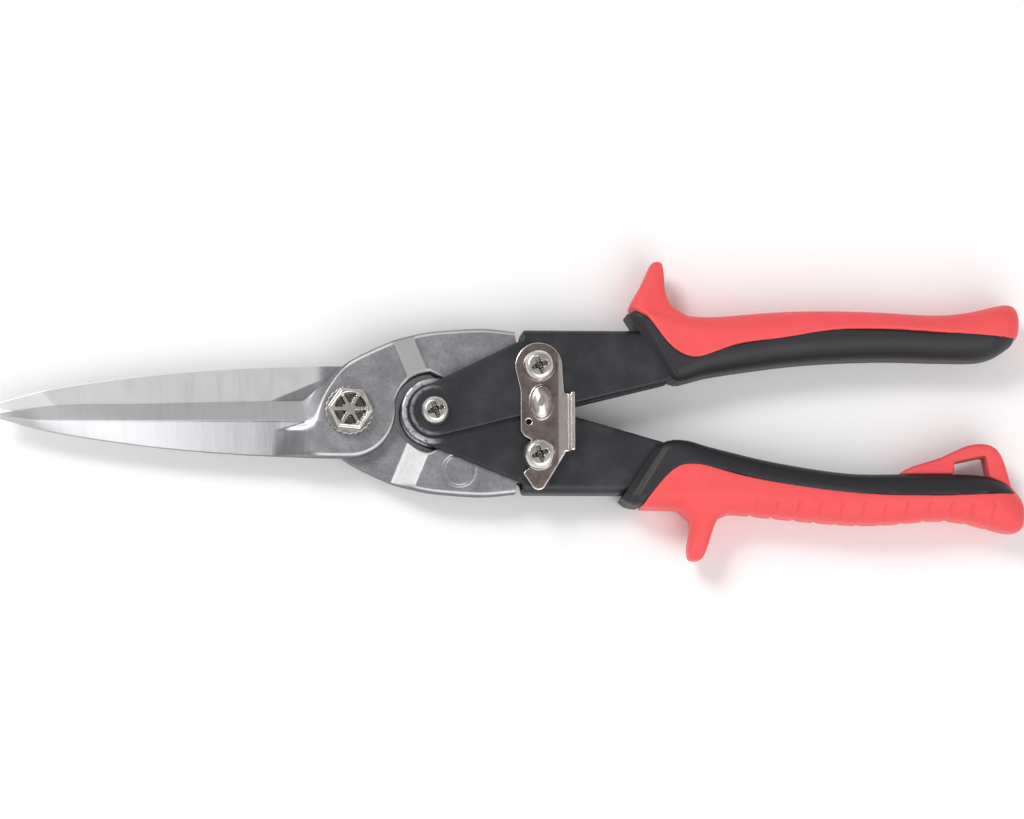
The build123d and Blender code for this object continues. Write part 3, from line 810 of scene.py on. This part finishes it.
def rear_jaw_steel():
    """The flat of the rear blade: a painted highlight on the facet at the tip, and a dark painted
    shadow of the front jaw's heel beside it."""
    look, x, y, side, pit, cloud, forged, ground = forged_steel("ground_forging_rear", (0.78, 0.775, 0.78))
    # painted shadow: the front jaw's heel shades this part of the rear blade's flat
    heel_shadow = ((x + 22.2) * 0.42 + 3.1 - y).step(-0.25, 0.35) * x.step(-25, -18)
    # painted highlight: the facet at the rear blade's tip is made near white
    tip = (-81.0 - x - 0.9 * y).step(-0.6, 0.6)
    ground = look.blend(heel_shadow * 0.75, ground, (0.09, 0.09, 0.10))
    ground = look.blend(tip, ground, (0.95, 0.94, 0.92))
    return ground_and_forged(look, x, side, pit, cloud, forged, ground)


# %% [markdown]
# ## Painted steel
# The channels are dipped in satin black paint. Thin paint on pressed steel shows a faint orange peel,
# and it is rubbed through to bright metal in a ring where the two handles turn on each other, and in
# short lengths along the sharpest edges. The ring is worked out from the distance to the pivot, and
# the edges from the attribute that the recasting left behind, so both stay put when a handle swings.

# %% Satin black paint, worn at the pivot and the edges
def black_paint(name, low, high, amount):
    """Paint that is rubbed away by a share amount, between two radii about the handle pivot."""
    look = Look(name, ior=1.5)
    x, y, _ = look.split(look.place)
    peel = look.noise(0.6, 2.0, 0.5)
    cloud = look.noise(11.0, 4.0, 0.65)
    speck = look.noise(0.3, 2.0, 0.6)
    rub = look.noise(1.6, 4.0, 0.65)
    ahead = x.step((HANDLE_PIVOT[0] + 3.0) * MM, (HANDLE_PIVOT[0] - 3.0) * MM)
    ring = ring_about(look, HANDLE_PIVOT, low, high) * rub.step(0.30, 0.50) * ahead * amount
    edge = look.mark("edge").step(0.70, 1.0) * look.noise(5.0, 3.0, 0.6).step(0.44, 0.58) * 0.75
    worn = ring.math("MAXIMUM", edge)
    paint = look.blend(cloud.step(0.35, 0.72), (0.007, 0.0075, 0.0105), (0.024, 0.025, 0.032))
    paint = look.blend(speck.step(0.64, 0.74) * 0.45, paint, (0.085, 0.085, 0.095))
    skin = look.blend(worn, paint, (0.60, 0.60, 0.63))
    rough = (0.30 + 0.18 * cloud + 0.10 * speck) * (1 - worn) + 0.34 * worn
    dents = look.bump(peel * (1 - worn) * 0.022, 0.8)
    return look.set(colour=skin, roughness=rough, metallic=worn, normal=dents)


# %% [markdown]
# ## Plating, plastic and rubber
# Zinc and nickel plate are bright but never perfect: the roughness drifts and grime darkens them in
# clouds. The hard core has a spark-eroded grain, and the soft skin a finer one that is almost a
# powder, so it scatters light instead of shining. These are all noise at a real size with a small
# depth in the Bump node.

# %% Plated, moulded and rubbed surfaces
def dome_and_tab_highlight(look):
    """Painted highlight on the latch: its raised dome and its folded tab."""
    x, y, _ = look.split(look.place)
    across, along = x * 1000.0 - (LINK_X + 0.6), y * 1000.0 - (LINK_Y - 10.2)
    reach = (across * across / 8.4 + along * along / 19.4).math("SQRT")
    return reach.step(1.0, 0.45).math("MAXIMUM", across.step(4.6, 5.2))


def plated(name, base, stain, rough, share, bright_edge=None, recessed=False, painted_highlight=None):
    """Plating: a base colour clouded by a stain, brighter on worn edges, lit by a painted highlight where one
    is given, and darkened with painted shade, tinted brown, at the bottom of a pressed recess."""
    look = Look(name, metallic=1.0)
    cloud = look.noise(2.6, 4.0, 0.65)
    grain = look.noise(0.25, 3.0, 0.6)
    tone = look.blend(cloud.step(0.36, 0.70) * share, base, stain)
    # painted highlight, where one is given: the latch's dome and tab
    if painted_highlight is not None:
        tone = look.blend(painted_highlight(look) * 0.75, tone, (0.86, 0.79, 0.75))
    if bright_edge is not None:
        tone = look.blend(look.mark("edge").step(0.25, 0.8), tone, bright_edge)
    # painted shade, tinted brown, at the bottom of a pressed recess
    if recessed:
        tone = look.blend(look.mark("recess").step(0.15, 0.9) * 0.85, tone, (0.10, 0.075, 0.05))
    return look.set(colour=tone, roughness=rough + 0.14 * cloud + 0.06 * grain,
                    normal=look.bump(grain * 0.010, 0.6))


def hard_core():
    """The core's hard plastic: nearly black, with the grain of a spark-eroded mould."""
    look = Look("core_plastic_satin", ior=1.49)
    grain = look.noise(0.30, 3.0, 0.6)
    cloud = look.noise(10.0, 3.0, 0.6)
    tone = look.blend(cloud, (0.008, 0.0082, 0.0105), (0.015, 0.015, 0.018))
    return look.set(colour=tone, roughness=0.40 + 0.20 * grain, normal=look.bump(grain * 0.035, 0.8))


def soft_skin():
    """The skin's soft rubber: a powdery red that is paler along its rounded edges."""
    look = Look("rubber_red", ior=1.45, sheen_weight=0.12, sheen_roughness=0.4)
    grain = look.noise(0.22, 3.0, 0.6)
    cloud = look.noise(16.0, 4.0, 0.6)
    mottle = look.noise(1.2, 3.0, 0.6)
    tone = look.blend(cloud, (0.80, 0.066, 0.070), (0.85, 0.094, 0.098))
    tone = look.blend(mottle.step(0.5, 0.8) * 0.22, tone, (0.66, 0.042, 0.046))
    tone = look.blend(look.mark("edge").step(0.2, 0.9) * 0.35, tone, (0.88, 0.13, 0.13))
    return look.set(colour=tone, roughness=0.52 + 0.16 * grain, normal=look.bump(grain * 0.035, 0.8))


rear_steel = rear_jaw_steel()
front_steel = front_jaw_steel()
outer_paint = black_paint("outer_handle_paint", 6.2, 7.0, 0.35)
inner_paint = black_paint("inner_handle_paint", 7.9, 9.2, 0.95)
# the screw and bolt heads get painted shade in their recesses
nickel_heads = plated("nickel_heads", (0.78, 0.76, 0.72), (0.36, 0.33, 0.29), 0.16, 0.5, recessed=True)
nickel_tumbled = plated("nickel_tumbled", (0.36, 0.345, 0.33), (0.20, 0.185, 0.17), 0.26, 0.7,
                        (0.62, 0.60, 0.57))
# the latch gets a painted highlight on its dome and tab
latch_nickel = plated("latch_nickel", (0.40, 0.335, 0.305), (0.20, 0.155, 0.135), 0.15, 0.9,
                      (0.93, 0.84, 0.80), painted_highlight=dome_and_tab_highlight)
blackened = plated("blackened_steel", (0.15, 0.15, 0.16), (0.08, 0.08, 0.08), 0.34, 0.6)
spring_wire = plated("spring_wire", (0.46, 0.46, 0.47), (0.25, 0.25, 0.25), 0.25, 0.5)
core_look = hard_core()
skin_look = soft_skin()


def dress(look, slot_name, *pieces):
    """Give pieces their one material. slot_name is not used."""
    for piece in pieces:
        piece.data.materials.clear()
        piece.data.materials.append(look)


dress(front_steel, "forged_steel", front_jaw)
dress(rear_steel, "forged_steel", rear_jaw)
dress(outer_paint, "handle_steel", upper_channel)
dress(inner_paint, "handle_steel", lower_channel)
dress(core_look, "core_plastic", upper_core, lower_core)
dress(skin_look, "overmould_rubber", upper_skin, lower_skin)
dress(nickel_heads, "plated_fasteners", main_bolt, upper_screw, lower_screw, pivot_screw)
dress(latch_nickel, "latch_nickel", latch)
slots = {part["node"]: part["material_slot"] for part in frame["record"]["subparts"]}
tumbled_looks = {"plated_fasteners": nickel_tumbled, "black_hardware": blackened, "spring_steel": spring_wire}
for piece in tumbled:
    slot_name = slots[piece.name.replace("_tumbled", "")]
    dress(tumbled_looks[slot_name], slot_name, piece)
kept = {"upper_link_spacer_front": blackened, "upper_link_spacer_rear": blackened,
        "handle_pivot_bush": blackened, "return_spring": spring_wire}
for node, look in kept.items():
    frame["nodes"][node].material_slots[0].material = look
print("materials:", len(bpy.data.materials))

# %% [markdown]
# ## Floor, light and camera
# The snips lie on a plain white sweep. Polished steel shows whatever is round it, so the sky is a
# gradient, pale at the horizon and greyer overhead, with a soft light behind on the left for the
# shadows and a wide, dim one in front. The camera is a long lens a little to the front left of
# straight above, turned about its own axis so that the tool lies level across the frame.

# %% The studio
def floor():
    """A flat white sheet, just under the tool so that the two never share a surface."""
    mesh = bpy.data.meshes.new("sweep")
    size, under = 3.0, -0.2 * MM
    corners = [(-size, -size, under), (size, -size, under), (size, size, under), (-size, size, under)]
    mesh.from_pydata(corners, [], [(0, 1, 2, 3)])
    sweep = bpy.data.objects.new("sweep", mesh)
    bpy.context.scene.collection.objects.link(sweep)
    look = Look("sweep_paper", roughness=0.85)
    fibre = look.noise(2.0, 4.0, 0.6)
    sweep.data.materials.append(look.set(colour=look.blend(fibre, (0.90, 0.90, 0.90), (0.93, 0.93, 0.93))))


def softbox(name, place, target, size, power):
    """A square light at a place, facing a target."""
    lamp = bpy.data.lights.new(name, "AREA")
    lamp.shape = "SQUARE"
    lamp.size = size
    lamp.energy = power
    holder = bpy.data.objects.new(name, lamp)
    holder.location = place
    holder.rotation_euler = (Vector(target) - Vector(place)).to_track_quat("-Z", "Y").to_euler()
    bpy.context.scene.collection.objects.link(holder)


def sky():
    """A tent: pale low down, greyer overhead, and greyer on the far side than on the near side."""
    world = bpy.data.worlds.new("studio")
    bpy.context.scene.world = world
    world.use_nodes = True
    tent = Nodes(world.node_tree)
    _, depth, height = tent.split(tent.node("ShaderNodeTexCoord", {}, {}, "Generated"))
    strength = tent.node("ShaderNodeMapRange", {"interpolation_type": "SMOOTHSTEP"}, {
        "Value": depth, "From Min": -0.6, "From Max": 0.45, "To Min": 0.95, "To Max": 0.62})
    overhead = tent.node("ShaderNodeMapRange", {}, {"Value": height, "From Min": 0.30, "From Max": 1.0})
    tone = tent.blend(overhead, (1.0, 1.0, 1.0), (0.34, 0.34, 0.35))
    background = tent.tree.nodes["Background"]
    tent.tree.links.new(tone.socket, background.inputs["Color"])
    tent.tree.links.new(strength.socket, background.inputs["Strength"])


def camera():
    """A 200 mm lens: back points from the target to the camera, and the roll turns its other axes."""
    azimuth, elevation, roll, distance = radians(-37), radians(81.5), radians(37.02), 1.6056
    back = Vector((sin(azimuth) * cos(elevation), -cos(azimuth) * cos(elevation), sin(elevation)))
    right = Vector((cos(azimuth), sin(azimuth), 0))
    up = back.cross(right)
    across = right * cos(roll) + up * sin(roll)
    upright = up * cos(roll) - right * sin(roll)
    target = Vector((46.3, 1.13, SHEAR_Z)) * MM
    eye = bpy.data.cameras.new("camera")
    eye.lens = 200
    holder = bpy.data.objects.new("camera", eye)
    turned = Matrix((across, upright, back)).transposed().to_4x4()
    holder.matrix_world = Matrix.Translation(target + back * distance) @ turned
    bpy.context.scene.collection.objects.link(holder)
    bpy.context.scene.camera = holder


floor()
sky()
camera()
softbox("key", (-0.50, 0.55, 1.05), (0.05, 0, 0), 0.40, 7.5)
softbox("near card", (0.30, -0.55, 1.05), (0.05, 0, 0), 0.95, 6.5)
bpy.context.scene.view_settings.view_transform = "Standard"
